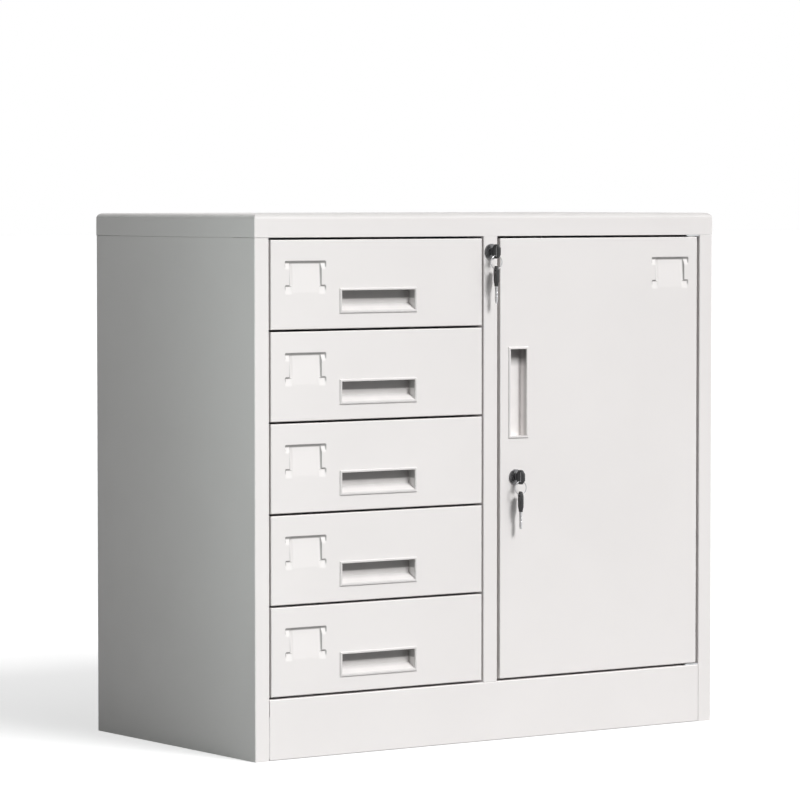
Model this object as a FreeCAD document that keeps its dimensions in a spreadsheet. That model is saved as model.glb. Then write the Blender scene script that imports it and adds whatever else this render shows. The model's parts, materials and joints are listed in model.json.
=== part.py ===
import FreeCAD, Part
import math
import os
import Sketcher

# Office drawer cabinet in folded sheet steel: five drawers at the left, one hinged door at the
# right, a gang lock for the drawers in the centre post and a cam lock in the door.
# Millimetres. +X right, +Y from the front to the back, +Z up. The origin is the centre of the
# base of the whole object, keys included. Bodies are drawn from the cabinet's left edge, front
# plane and floor, and their placements carry them to that origin.

doc = FreeCAD.newDocument("office_drawer_cabinet")
sheet = doc.addObject("Spreadsheet::Sheet", "Sizes")


class Size:
    """A dimension as a number, together with the expression that it is driven by."""

    def __init__(self, value, text):
        self.value = value
        self.text = text

    def __add__(self, other):
        other = as_size(other)
        return Size(self.value + other.value, f"({self.text} + {other.text})")

    def __sub__(self, other):
        other = as_size(other)
        return Size(self.value - other.value, f"({self.text} - {other.text})")

    def __mul__(self, other):
        other = as_size(other)
        return Size(self.value * other.value, f"({self.text} * {other.text})")

    def __truediv__(self, other):
        other = as_size(other)
        return Size(self.value / other.value, f"({self.text} / {other.text})")

    def __radd__(self, other):
        return as_size(other) + self

    def __rsub__(self, other):
        return as_size(other) - self

    def __rmul__(self, other):
        return as_size(other) * self

    def __neg__(self):
        return as_size(0) - self


def as_size(item):
    """A plain number as a constant Size."""
    if isinstance(item, Size):
        return item
    return Size(float(item), f"{float(item):.6f}")


sheet_row = 0


def size(name, value):
    """Write one driving dimension into the sheet and return it."""
    global sheet_row
    sheet_row += 1
    sheet.set(f"A{sheet_row}", name)
    sheet.set(f"B{sheet_row}", str(value))
    sheet.setAlias(f"B{sheet_row}", name)
    return Size(float(value), f"Sizes.{name}")


# Overall size and sheet metal
width = size("width", 750)
depth = size("depth", 390)
height = size("height", 700)
skin = size("skin", 0.8)
bend = size("bend", 1.5)
seam = size("seam", 0.4)

# Carcass
cap_lip = size("cap_lip", 30)
cap_bend = size("cap_bend", 7)
cap_return = size("cap_return", 18)
tongue_drop = size("tongue_drop", 30)
stile = size("stile", 22)
stile_return = size("stile_return", 36)
rear_flange = size("rear_flange", 15)
foot_flange = size("foot_flange", 15)
plinth_height = size("plinth_height", 78.5)
deck_flange = size("deck_flange", 15)
drawer_bay = size("drawer_bay", 339.1)
post_width = size("post_width", 22.7)
stop_width = size("stop_width", 12)
upright_width = size("upright_width", 45)

# Drawers
drawer_count = size("drawer_count", 5)
drawer_side_gap = size("drawer_side_gap", 2.8)
front_gap = size("front_gap", 3)
front_depth = size("front_depth", 16)
front_bend = size("front_bend", 1.2)
front_return = size("front_return", 20)
tray_skin = size("tray_skin", 0.7)
tray_height = size("tray_height", 88)
tray_length = size("tray_length", 350)
tray_rise = size("tray_rise", 9)
tray_hem = size("tray_hem", 6)

# Drawer slides
slide_width = size("slide_width", 12.5)
slide_rise = size("slide_rise", 31)
slide_travel = size("slide_travel", 255)
rail_start = size("rail_start", 19)
rail_length = size("rail_length", 350)
rail_height = size("rail_height", 35)
rail_skin = size("rail_skin", 1)
rail_depth = size("rail_depth", 9.5)
rail_lip = size("rail_lip", 5)
rail_web_height = size("rail_web_height", 22)
rail_play = size("rail_play", 0.3)
rail_stop = size("rail_stop", 4)

# Label holders pressed into the fronts
label_width = size("label_width", 64)
label_height = size("label_height", 43)
label_band = size("label_band", 9)
label_inset = size("label_inset", 7)
label_body = size("label_body", 36)
label_ramp = size("label_ramp", 11)
label_lug_width = size("label_lug_width", 13)
label_lug_height = size("label_lug_height", 12)
label_corner = size("label_corner", 3)
label_press = size("label_press", 2.4)
drawer_label_in = size("drawer_label_in", 53.2)
drawer_label_up = size("drawer_label_up", 66.5)
door_label_in = size("door_label_in", 47.5)
door_label_down = size("door_label_down", 48.3)

# Recessed pulls
pull_length = size("pull_length", 122)
pull_height = size("pull_height", 33)
pull_border = size("pull_border", 3.2)
pull_proud = size("pull_proud", 1.6)
pull_chamfer = size("pull_chamfer", 1.1)
pull_depth = size("pull_depth", 13)
pull_slope = size("pull_slope", 8.5)
pull_wall = size("pull_wall", 1.4)
pull_play = size("pull_play", 0.3)
pull_catch = size("pull_catch", 1.2)
pull_catch_length = size("pull_catch_length", 9)
drawer_pull_up = size("drawer_pull_up", 35.8)
door_pull_in = size("door_pull_in", 29.8)
door_pull_height = size("door_pull_height", 462)

# Door and its hinges
door_side_gap = size("door_side_gap", 4.4)
door_depth = size("door_depth", 18)
door_return = size("door_return", 16)
door_stop_gap = size("door_stop_gap", 0.6)
stiffener_width = size("stiffener_width", 70)
stiffener_flange = size("stiffener_flange", 12)
pivot_in = size("pivot_in", 7.5)
pivot_back = size("pivot_back", 8)
pivot_radius = size("pivot_radius", 3)
pivot_pin = size("pivot_pin", 11)
pivot_fit = size("pivot_fit", 0.05)
bush_wall = size("bush_wall", 1.2)
bush_flange = size("bush_flange", 1)
bush_thick = size("bush_thick", 1)
bush_sleeve = size("bush_sleeve", 7)
bracket_plate = size("bracket_plate", 2)
bracket_length = size("bracket_length", 22)
bracket_depth = size("bracket_depth", 16)

# Shelf
shelf_height = size("shelf_height", 372)
shelf_flange = size("shelf_flange", 18)
shelf_play = size("shelf_play", 0.8)
clip_width = size("clip_width", 15)
clip_height = size("clip_height", 18)
clip_ledge = size("clip_ledge", 12)
clip_skin = size("clip_skin", 1.2)
clip_inset = size("clip_inset", 50)

# Locks, one form for both
bezel_radius = size("bezel_radius", 10)
bezel_proud = size("bezel_proud", 2.2)
lock_radius = size("lock_radius", 8)
lock_flat = size("lock_flat", 6.9)
lock_length = size("lock_length", 21)
lock_play = size("lock_play", 0.15)
plug_radius = size("plug_radius", 5.7)
plug_fit = size("plug_fit", 0.05)
plug_square = size("plug_square", 6)
clip_half_width = size("clip_half_width", 9.4)
clip_drop = size("clip_drop", 13)
clip_rise = size("clip_rise", 7)
clip_thick = size("clip_thick", 2)
clip_fit = size("clip_fit", 0.1)
cam_thick = size("cam_thick", 2.5)
cam_gap = size("cam_gap", 0.5)
cam_half_width = size("cam_half_width", 6)
cam_reach = size("cam_reach", 36)
arm_corner = size("arm_corner", 2)
drawer_lock_down = size("drawer_lock_down", 50)
door_lock_height = size("door_lock_height", 350)
door_lock_in = size("door_lock_in", 24.8)

# Gang lock bar
crank_throw = size("crank_throw", 6)
crank_half_width = size("crank_half_width", 4.4)
crank_pin_radius = size("crank_pin_radius", 1.75)
crank_pin_play = size("crank_pin_play", 0.3)
bar_start = size("bar_start", 27)
bar_thick = size("bar_thick", 2)
bar_left = size("bar_left", 3.9)
bar_width = size("bar_width", 17)
bar_top_margin = size("bar_top_margin", 14)
bar_tail = size("bar_tail", 16)
finger_rise = size("finger_rise", 70)
finger_height = size("finger_height", 6)
finger_reach = size("finger_reach", 9)
finger_play = size("finger_play", 1)
catch_gap = size("catch_gap", 0.6)
catch_lift = size("catch_lift", 1.2)
catch_width = size("catch_width", 10)
catch_height = size("catch_height", 9)
guide_width = size("guide_width", 8)
guide_wall = size("guide_wall", 2)
guide_height = size("guide_height", 12)
guide_play = size("guide_play", 0.3)

# Keys, their rings and the spare keys
key_gap = size("key_gap", 1)
bow_length = size("bow_length", 17.5)
bow_half = size("bow_half", 8)
bow_radius = size("bow_radius", 9.5)
bow_corner = size("bow_corner", 5)
bow_neck = size("bow_neck", 4.5)
bow_thick = size("bow_thick", 3.6)
bow_chamfer = size("bow_chamfer", 0.7)
slot_half = size("slot_half", 6.5)
slot_radius = size("slot_radius", 2.25)
spare_bow_length = size("spare_bow_length", 27)
spare_bow_half = size("spare_bow_half", 12.5)
spare_bow_radius = size("spare_bow_radius", 8)
spare_eye_down = size("spare_eye_down", 5)
spare_eye_half = size("spare_eye_half", 2.8)
socket_depth = size("socket_depth", 5)
blade_length = size("blade_length", 23)
blade_half_width = size("blade_half_width", 3.5)
blade_thick = size("blade_thick", 2)
blade_notch = size("blade_notch", 1.3)
keyway_play = size("keyway_play", 0.12)
ring_radius = size("ring_radius", 9)
ring_wire = size("ring_wire", 0.6)
ring_gap = size("ring_gap", 0.45)
spare_gap = size("spare_gap", 0.9)

# Planes and lines that several pieces share
key_reach = bezel_proud + key_gap + bow_length
front_y = (key_reach - depth) / 2
left_x = -width / 2
opening_top = height - cap_lip
drawer_lock_height = height - drawer_lock_down
wall_top = height - cap_bend
back_inner = depth - 2 * skin
stile_right = width - stile
post_left = stile + drawer_bay
post_right = post_left + post_width
post_middle = post_left + post_width / 2
drawer_pitch = (opening_top - plinth_height - front_gap) / drawer_count
drawer_width = drawer_bay - 2 * drawer_side_gap
drawer_height = drawer_pitch - front_gap
drawer_left = stile + drawer_side_gap
tray_left = stile + slide_width
tray_width = drawer_bay - 2 * slide_width
door_left = post_right + door_side_gap
door_right = stile_right - door_side_gap
door_bottom = plinth_height + front_gap
door_top = opening_top - front_gap
door_stop = door_depth + door_stop_gap
pivot_x = door_right - pivot_in
door_lock_x = door_left + door_lock_in
door_pull_x = door_left + door_pull_in
pull_opening_length = pull_length - 2 * pull_border
pull_opening_height = pull_height - 2 * pull_border
bar_lift = crank_throw * math.sqrt(2)
bow_slot = bow_length - bow_half
ring_top = -slot_half + ring_gap + ring_wire
ring_middle = ring_top - ring_radius
spare_hang = ring_middle - ring_radius + ring_wire + spare_gap
spare_bow_top = spare_hang + spare_eye_down - slot_radius


def vector(x, y, z=0):
    return FreeCAD.Vector(as_size(x).value, as_size(y).value, as_size(z).value)


def bind(item, path, amount):
    """Drive one property of an object by a dimension."""
    item.setExpression(path, as_size(amount).text)


def new_body(name, x=0, y=0, z=0):
    """An empty piece whose own origin lies at x, y, z from the cabinet's left, front and floor."""
    body = doc.addObject("PartDesign::Body", name)
    body.Label = name
    body.AllowCompound = True
    bind(body, "Placement.Base.x", left_x + x)
    bind(body, "Placement.Base.y", front_y + y)
    bind(body, "Placement.Base.z", z)
    return body


def origin_feature(body, role):
    return [item for item in body.Origin.OriginFeatures if item.Role == role][0]


def pin_point(sketch, geometry, end, x, y):
    """Fix one point of a sketch at x, y from its origin."""
    for kind, amount in (("DistanceX", as_size(x)), ("DistanceY", as_size(y))):
        constraint = Sketcher.Constraint(kind, -1, 1, geometry, end, amount.value)
        index = sketch.addConstraint(constraint)
        if "Sizes" in amount.text:
            sketch.setExpression(f"Constraints[{index}]", amount.text)


def pin_level(sketch, geometry, y):
    """Fix the height of an edge's start above the sketch's origin."""
    y = as_size(y)
    constraint = Sketcher.Constraint("DistanceY", -1, 1, geometry, 1, y.value)
    number = sketch.addConstraint(constraint)
    sketch.setExpression(f"Constraints[{number}]", y.text)


def pin_radius(sketch, geometry, radius):
    radius = as_size(radius)
    number = sketch.addConstraint(Sketcher.Constraint("Radius", geometry, radius.value))
    sketch.setExpression(f"Constraints[{number}]", radius.text)


def join_ends(sketch, chain):
    """Join each edge's end to the next one's start, all the way round."""
    for i, geometry in enumerate(chain):
        following = chain[(i + 1) % len(chain)]
        sketch.addConstraint(Sketcher.Constraint("Coincident", geometry, 2, following, 1))


def polygon(*points):
    """A closed outline of straight edges."""

    def draw(sketch):
        chain = []
        for i, point in enumerate(points):
            following = points[(i + 1) % len(points)]
            line = Part.LineSegment(vector(*point), vector(*following))
            chain.append(sketch.addGeometry(line, False))
        join_ends(sketch, chain)
        for geometry, point in zip(chain, points):
            pin_point(sketch, geometry, 1, *point)

    return draw


def rectangle(x0, y0, x1, y1):
    return polygon((x0, y0), (x1, y0), (x1, y1), (x0, y1))


def circle(x, y, radius):
    """A full circle."""

    def draw(sketch):
        whole = Part.Circle(vector(x, y), FreeCAD.Vector(0, 0, 1), as_size(radius).value)
        geometry = sketch.addGeometry(whole, False)
        pin_point(sketch, geometry, 3, x, y)
        pin_radius(sketch, geometry, radius)

    return draw


def round_box(x0, y0, x1, y1, radius, rounded):
    """A rectangle with round corners where they are named."""
    radius = as_size(radius)
    corners = [
        ("lower_left", x0, y0, 1, 1, math.pi),
        ("lower_right", x1, y0, -1, 1, 1.5 * math.pi),
        ("upper_right", x1, y1, -1, -1, 0),
        ("upper_left", x0, y1, 1, -1, 0.5 * math.pi),
    ]

    def ends(number):
        """Where the outline arrives at a corner and where it leaves it."""
        name, x, y, inward_x, inward_y, angle = corners[number]
        if name not in rounded:
            return (x, y), (x, y)
        beside = (x + inward_x * radius, y)
        above = (x, y + inward_y * radius)
        return (above, beside) if number % 2 == 0 else (beside, above)

    def draw(sketch):
        chain = []
        for i, (name, x, y, inward_x, inward_y, angle) in enumerate(corners):
            if name in rounded:
                centre = vector(x + inward_x * radius, y + inward_y * radius)
                whole = Part.Circle(centre, FreeCAD.Vector(0, 0, 1), radius.value)
                arc = Part.ArcOfCircle(whole, angle, angle + math.pi / 2)
                chain.append(sketch.addGeometry(arc, False))
                pin_radius(sketch, chain[-1], radius)
            start = ends(i)[1]
            end = ends((i + 1) % 4)[0]
            line = Part.LineSegment(vector(*start), vector(*end))
            chain.append(sketch.addGeometry(line, False))
            pin_point(sketch, chain[-1], 1, *start)
            if corners[(i + 1) % 4][0] in rounded:
                pin_point(sketch, chain[-1], 2, *end)
        join_ends(sketch, chain)

    return draw


# Each plane's normal along its world axis, and the axis that it lies across
PLANE_SIGN = {"XY_Plane": 1, "XZ_Plane": -1, "YZ_Plane": 1}


def new_sketch(body, name, plane, at, loops):
    """A sketch on one of the piece's own planes, moved along its axis to `at`."""
    sketch = body.newObject("Sketcher::SketchObject", name)
    sketch.AttachmentSupport = (origin_feature(body, plane), [""])
    sketch.MapMode = "FlatFace"
    bind(sketch, "AttachmentOffset.Base.z", PLANE_SIGN[plane] * as_size(at))
    for draw in loops:
        draw(sketch)
    return sketch


def pad(body, name, plane, low, high, *loops):
    """Add material between two levels along the plane's axis."""
    sketch = new_sketch(body, name + "_sketch", plane, low, loops)
    feature = body.newObject("PartDesign::Pad", name)
    feature.Profile = sketch
    feature.Reversed = PLANE_SIGN[plane] < 0
    bind(feature, "Length", as_size(high) - low)
    return feature


def pocket(body, name, plane, low, high, *loops):
    """Take material away between two levels along the plane's axis."""
    sketch = new_sketch(body, name + "_sketch", plane, low, loops)
    feature = body.newObject("PartDesign::Pocket", name)
    feature.Profile = sketch
    feature.Reversed = PLANE_SIGN[plane] > 0
    bind(feature, "Length", as_size(high) - low)
    cuts.append(feature)
    return feature


cuts = []


def revolve(body, name, *loops):
    """Turn a profile, drawn as radius and level, once round the piece's own Y axis."""
    sketch = new_sketch(body, name + "_sketch", "XY_Plane", 0, loops)
    feature = body.newObject("PartDesign::Revolution", name)
    feature.Profile = sketch
    feature.ReferenceAxis = (sketch, ["V_Axis"])
    feature.Angle = 360
    return feature


def repeat(body, name, feature, axis, step, count):
    """Copies of one feature, `step` apart along an axis."""
    pattern = body.newObject("PartDesign::LinearPattern", name)
    pattern.Originals = [feature]
    pattern.Direction = (origin_feature(body, axis), [""])
    bind(pattern, "Length", step * (as_size(count) - 1))
    bind(pattern, "Occurrences", count)
    body.Tip = pattern
    return pattern


def along(axis, *places):
    """A test for straight edges along an axis that pass through one of the places."""
    number = "XYZ".index(axis)
    across = [i for i in range(3) if i != number]
    wanted = [tuple(as_size(part).value for part in place) for place in places]

    def test(edge):
        if len(edge.Vertexes) != 2 or edge.Curve.TypeId != "Part::GeomLine":
            return False
        ends = [tuple(vertex.Point[i] for i in across) for vertex in edge.Vertexes]
        return any(
            all(math.dist(end, place) < 0.01 for end in ends) for place in wanted
        )

    return test


def lies_at(axis, *levels):
    """A test for edges and faces that lie flat across an axis at one of the levels."""
    number = "XYZ".index(axis)
    wanted = [as_size(level).value for level in levels]

    def test(item):
        box = item.BoundBox
        low = (box.XMin, box.YMin, box.ZMin)[number]
        high = (box.XMax, box.YMax, box.ZMax)[number]
        return any(abs(low - level) < 0.01 and abs(high - level) < 0.01 for level in wanted)

    return test


def edge_names(feature, tests):
    shape = feature.Shape
    return [
        f"Edge{i + 1}" for i, edge in enumerate(shape.Edges) if any(test(edge) for test in tests)
    ]


def soften(body, name, kind, amount, *tests):
    """Round or chamfer the chosen edges of what the piece is so far."""
    doc.recompute()
    base = body.Tip
    feature = body.newObject(kind, name)
    feature.Base = (base, edge_names(base, tests))
    bind(feature, "Radius" if kind.endswith("Fillet") else "Size", amount)
    return feature


def round_edges(body, name, radius, *tests):
    return soften(body, name, "PartDesign::Fillet", radius, *tests)


def chamfer_edges(body, name, amount, *tests):
    return soften(body, name, "PartDesign::Chamfer", amount, *tests)


def hollow(body, name, wall, axis, level):
    """Leave a wall inside the piece, open where its flat face stands at the level."""
    doc.recompute()
    base = body.Tip
    test = lies_at(axis, level)
    faces = [f"Face{i + 1}" for i, face in enumerate(base.Shape.Faces) if test(face)]
    feature = body.newObject("PartDesign::Thickness", name)
    feature.Base = (base, faces)
    feature.Reversed = True
    bind(feature, "Value", wall)
    return feature


# Carcass


def top_cap():
    """A pan turned upside down, with a folded return under its front lip."""
    body = new_body("top_cap")
    pad(body, "cap_block", "XY_Plane", opening_top, height, rectangle(0, 0, width, depth))
    top_x = along("X", (0, height), (depth, height))
    top_y = along("Y", (0, height), (width, height))
    round_edges(body, "cap_bends", cap_bend, top_x, top_y)
    hollow(body, "cap_skin", skin, "Z", opening_top)
    outline = rectangle(stile, skin / 2, stile_right, cap_return)
    pad(body, "cap_front_return", "XY_Plane", opening_top, opening_top + skin, outline)
    return body


def side_panel(name, mirrored):
    """A side sheet folded round to a front stile with its return, and to a rear flange."""
    body = new_body(name)

    def across(amount):
        return width - amount if mirrored else as_size(amount)

    profile = [
        (0, 0),
        (stile, 0),
        (stile, stile_return),
        (stile - skin, stile_return),
        (stile - skin, skin),
        (skin, skin),
        (skin, depth - skin),
        (rear_flange, depth - skin),
        (rear_flange, depth),
        (0, depth),
    ]
    outline = polygon(*[(across(x), y) for x, y in profile])
    side_top = opening_top - seam
    pad(body, "side_fold", "XY_Plane", 0, side_top, outline)
    corners = [(across(0), 0), (across(stile), 0), (across(0), depth)]
    round_edges(body, "side_bends", bend, along("Z", *corners))
    tongue_front = stile_return + foot_flange
    tongue_back = back_inner - upright_width - foot_flange
    tongue = rectangle(across(skin), tongue_front, across(2 * skin), tongue_back)
    pad(body, "cap_tongue", "XY_Plane", opening_top - tongue_drop, wall_top, tongue)
    foot_end = back_inner - foot_flange - seam
    foot = rectangle(across(skin / 2), stile_return, across(foot_flange), foot_end)
    pad(body, "side_foot", "XY_Plane", 0, skin, foot)
    return body


def back_panel():
    """A flat sheet with a foot flange, lying inside the rear flanges of the sides."""
    body = new_body("back_panel", x=skin)
    profile = polygon(
        (back_inner - foot_flange, 0),
        (back_inner + skin, 0),
        (back_inner + skin, wall_top),
        (back_inner, wall_top),
        (back_inner, skin),
        (back_inner - foot_flange, skin),
    )
    pad(body, "back_fold", "YZ_Plane", 0, width - 2 * skin, profile)
    return body


def plinth():
    """A channel between the stiles: kick face, top return under the fronts, foot return."""
    body = new_body("plinth", x=stile + seam)
    top_return = stile_return + skin
    profile = polygon(
        (0, 0),
        (foot_flange, 0),
        (foot_flange, skin),
        (skin, skin),
        (skin, plinth_height - skin),
        (top_return, plinth_height - skin),
        (top_return, plinth_height),
        (0, plinth_height),
    )
    length = width - 2 * (stile + seam)
    pad(body, "plinth_fold", "YZ_Plane", 0, length, profile)
    round_edges(body, "plinth_bends", bend, along("X", (0, 0), (0, plinth_height)))
    return body


def bottom_panel():
    """The deck under the drawers and the door compartment, a pan open downwards."""
    body = new_body("bottom_panel")
    deck = plinth_height - skin
    notch = stile + seam
    notch_back = stile_return + skin
    outline = polygon(
        (notch, skin),
        (width - notch, skin),
        (width - notch, notch_back),
        (width - skin, notch_back),
        (width - skin, back_inner),
        (skin, back_inner),
        (skin, notch_back),
        (notch, notch_back),
    )
    pad(body, "deck_block", "XY_Plane", deck - deck_flange, deck, outline)
    hollow(body, "deck_skin", skin, "Z", deck - deck_flange)
    return body


def partition_panel():
    """The wall between the bays, joggled to lie inside the post, with a flange at the rear."""
    body = new_body("partition_panel")
    joggle = stile_return + 2 * skin
    end = post_left + rear_flange
    profile = polygon(
        (post_left + skin, 2 * skin),
        (post_left + 2 * skin, 2 * skin),
        (post_left + 2 * skin, joggle),
        (post_left + skin, joggle + skin),
        (post_left + skin, back_inner - skin),
        (end, back_inner - skin),
        (end, back_inner),
        (post_left, back_inner),
        (post_left, joggle + skin / 2),
        (post_left + skin, joggle - skin / 2),
    )
    pad(body, "partition_fold", "XY_Plane", plinth_height, wall_top, profile)
    root = rectangle(post_left, joggle + skin, post_left + skin, back_inner)
    pad(body, "partition_root", "XY_Plane", plinth_height - skin, plinth_height, root)
    notch = rectangle(0, opening_top - seam, cap_return + seam, height)
    pocket(body, "cap_notch", "YZ_Plane", post_left - 1, end, notch)
    pocket_fingers(body)
    return body


def pocket_fingers(body):
    """One slot for each finger of the lock bar, through the sheet at the post's left."""
    low = plinth_height + front_gap + finger_rise - finger_play
    high = low + finger_height + bar_lift + 2 * finger_play
    slot = rectangle(bar_start - finger_play, low, bar_start + bar_thick + finger_play, high)
    cut = pocket(body, "finger_slot", "YZ_Plane", post_left - 1, post_left + 3 * skin, slot)
    repeat(body, "finger_slots", cut, "Z_Axis", drawer_pitch, drawer_count)


def lock_hole(body, x, z):
    """A round hole with two flats, so that the lock can't turn in its panel."""
    reach = lock_radius + lock_play
    half = lock_flat + lock_play
    rise = math.sqrt(reach.value ** 2 - half.value ** 2)
    tilt = math.asin(half.value / reach.value)

    def draw(sketch):
        middle = vector(x, z)
        whole = Part.Circle(middle, FreeCAD.Vector(0, 0, 1), reach.value)
        above, below = z + half, z - half
        left, right = x - rise, x + rise
        upper = Part.LineSegment(vector(right, above), vector(left, above))
        left_arc = Part.ArcOfCircle(whole, math.pi - tilt, math.pi + tilt)
        lower = Part.LineSegment(vector(left, below), vector(right, below))
        right_arc = Part.ArcOfCircle(whole, -tilt, tilt)
        chain = [sketch.addGeometry(edge, False) for edge in (upper, left_arc, lower, right_arc)]
        join_ends(sketch, chain)
        for arc in (chain[1], chain[3]):
            pin_point(sketch, arc, 3, x, z)
        pin_radius(sketch, chain[1], reach)
        for line, level in ((chain[0], above), (chain[2], below)):
            sketch.addConstraint(Sketcher.Constraint("Horizontal", line))
            pin_level(sketch, line, level)

    pocket(body, "lock_hole", "XZ_Plane", -1, 2 * skin, draw)


def centre_post():
    """The front post: its left return carries the slides, its right one ends in the door stop."""
    body = new_body("centre_post")
    stop_end = post_right + stop_width
    profile = polygon(
        (post_left, 0),
        (post_right, 0),
        (post_right, door_stop),
        (stop_end, door_stop),
        (stop_end, door_stop + skin),
        (post_right - skin, door_stop + skin),
        (post_right - skin, skin),
        (post_left + skin, skin),
        (post_left + skin, stile_return),
        (post_left, stile_return),
    )
    pad(body, "post_fold", "XY_Plane", plinth_height, opening_top, profile)
    round_edges(body, "post_bends", bend, along("Z", (post_left, 0), (post_right, 0)))
    lock_hole(body, post_middle, drawer_lock_height)
    pocket_fingers(body)
    return body


def left_rail_upright():
    """A channel at the rear left that brings the slides level with the stile's return."""
    body = new_body("left_rail_upright")
    front = back_inner - upright_width
    profile = polygon(
        (skin, front),
        (stile, front),
        (stile, back_inner),
        (skin, back_inner),
        (skin, back_inner - skin),
        (stile - skin, back_inner - skin),
        (stile - skin, front + skin),
        (skin, front + skin),
    )
    pad(body, "upright_fold", "XY_Plane", plinth_height - skin, wall_top, profile)
    return body


# Drawer slides


def slide_height(up=0):
    """The middle line of a slide above the floor, for the lowest drawer or one further up."""
    return plinth_height + front_gap + slide_rise + drawer_pitch * up


def outer_rails(name, wall, sign):
    """Five channels fixed to one side of the drawer bay, each with an end stop."""
    body = new_body(name)
    half = rail_height / 2
    middle = slide_height()

    def place(inward, rise):
        return (wall + sign * as_size(inward), middle + rise)

    profile = polygon(
        place(0, -half),
        place(rail_depth, -half),
        place(rail_depth, -half + rail_lip),
        place(rail_depth - rail_skin, -half + rail_lip),
        place(rail_depth - rail_skin, -half + rail_skin),
        place(rail_skin, -half + rail_skin),
        place(rail_skin, half - rail_skin),
        place(rail_depth - rail_skin, half - rail_skin),
        place(rail_depth - rail_skin, half - rail_lip),
        place(rail_depth, half - rail_lip),
        place(rail_depth, half),
        place(0, half),
    )
    rear = rail_start + rail_length
    rail = pad(body, "rail_channel", "XZ_Plane", rail_start, rear, profile)
    repeat(body, "rail_channels", rail, "Z_Axis", drawer_pitch, drawer_count)
    stop_rear = rear - slide_travel - rail_skin - rail_play
    bump = rectangle(
        wall + sign * (rail_skin / 2),
        middle - rail_stop,
        wall + sign * (2.4 * rail_skin),
        middle + rail_stop,
    )
    stop = pad(body, "rail_stop", "XZ_Plane", stop_rear - rail_stop, stop_rear, bump)
    repeat(body, "rail_stops", stop, "Z_Axis", drawer_pitch, drawer_count)
    return body


def inner_rails(name, up):
    """The pair of inner members on one drawer, hooked behind the lips of the outer ones."""
    body = new_body(name)
    web = rail_web_height / 2
    tip = rail_height / 2 - rail_skin - rail_play
    near = 2.5 * rail_skin
    middle = slide_height(up)
    rear = rail_start + rail_length
    for side, wall, sign in (("left", stile, 1), ("right", post_left, -1)):

        def place(inward, rise):
            return (wall + sign * as_size(inward), middle + rise)

        profile = polygon(
            place(slide_width, -web),
            place(slide_width, web),
            place(near + rail_skin, web),
            place(near + rail_skin, tip),
            place(near, tip),
            place(near, web - rail_skin),
            place(slide_width - rail_skin, web - rail_skin),
            place(slide_width - rail_skin, -web + rail_skin),
            place(near, -web + rail_skin),
            place(near, -tip),
            place(near + rail_skin, -tip),
            place(near + rail_skin, -web),
        )
        pad(body, side + "_channel", "XZ_Plane", rail_start, rear, profile)
        plate = rectangle(
            wall + sign * (1.4 * rail_skin),
            middle - rail_stop,
            wall + sign * (slide_width - rail_skin / 2),
            middle + rail_stop,
        )
        pad(body, side + "_end_plate", "XZ_Plane", rear - rail_skin, rear, plate)
    return body


# Fronts


def label_loops(x, top, margin, rounded):
    """The band and the two feet of the pressed label holder, grown by a margin."""
    left = x - label_width / 2 - margin
    right = x + label_width / 2 + margin
    reach = label_lug_width + 2 * margin
    band_low = top - label_band - margin
    foot_top = top - label_height + label_lug_height + margin
    foot_low = top - label_height - margin
    if not rounded:
        band = rectangle(left, band_low, right, top + margin)
        left_foot = rectangle(left, foot_low, left + reach, foot_top)
        right_foot = rectangle(right - reach, foot_low, right, foot_top)
        return (band, left_foot, right_foot)
    corner = label_corner
    band = round_box(left, band_low, right, top, corner, ("upper_left", "upper_right"))
    left_foot = round_box(left, foot_low, left + reach, foot_top, corner, ("lower_left",))
    right_foot = round_box(right - reach, foot_low, right, foot_top, corner, ("lower_right",))
    return (band, left_foot, right_foot)


def label_body_wedge(top, press, margin):
    """The side view of the label's middle: its floor ramps up to the sheet at the bottom."""
    low = top - label_body
    return polygon(
        (0, top + margin),
        (press, top + margin),
        (press, low + label_ramp - margin),
        (0, low - margin),
    )


def press_label(body, x, top):
    """A label holder pressed into a front: the sheet bulges behind and is recessed in front."""
    inner_left = x - label_width / 2 + label_inset
    inner_right = x + label_width / 2 - label_inset
    none = as_size(0)
    for i, loop in enumerate(label_loops(x, top, skin, False)):
        pad(body, f"label_back_{i}", "XZ_Plane", skin / 2, label_press + skin, loop)
    wedge = label_body_wedge(top, label_press + skin, skin)
    pad(body, "label_back_body", "YZ_Plane", inner_left - skin, inner_right + skin, wedge)
    for i, loop in enumerate(label_loops(x, top, none, True)):
        pocket(body, f"label_press_{i}", "XZ_Plane", -1, label_press, loop)
    wedge = label_body_wedge(top, label_press, none)
    pocket(body, "label_press_body", "YZ_Plane", inner_left, inner_right, wedge)


def front_pan(body, left, right, low, high, deep, turn):
    """A folded front: skin, four flanges and the returns behind them."""
    pad(body, "pan_block", "XZ_Plane", 0, deep, rectangle(left, low, right, high))
    edges_x = along("X", (0, low), (0, high))
    edges_z = along("Z", (left, 0), (right, 0))
    round_edges(body, "pan_bends", front_bend, edges_x, edges_z)
    hollow(body, "pan_skin", skin, "Y", deep)
    outer = rectangle(left + skin / 2, low + skin / 2, right - skin / 2, high - skin / 2)
    inner = rectangle(left + turn, low + turn, right - turn, high - turn)
    pad(body, "pan_returns", "XZ_Plane", deep - skin, deep, outer, inner)


def pull_window(body, x, z, upright):
    """The opening that a pull's housing drops into."""
    half_length = pull_opening_length / 2 + pull_wall + pull_play
    half_height = pull_opening_height / 2 + pull_wall + pull_play
    across, up = (half_height, half_length) if upright else (half_length, half_height)
    window = rectangle(x - across, z - up, x + across, z + up)
    pocket(body, "pull_window", "XZ_Plane", -1, 2 * skin, window)


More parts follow.
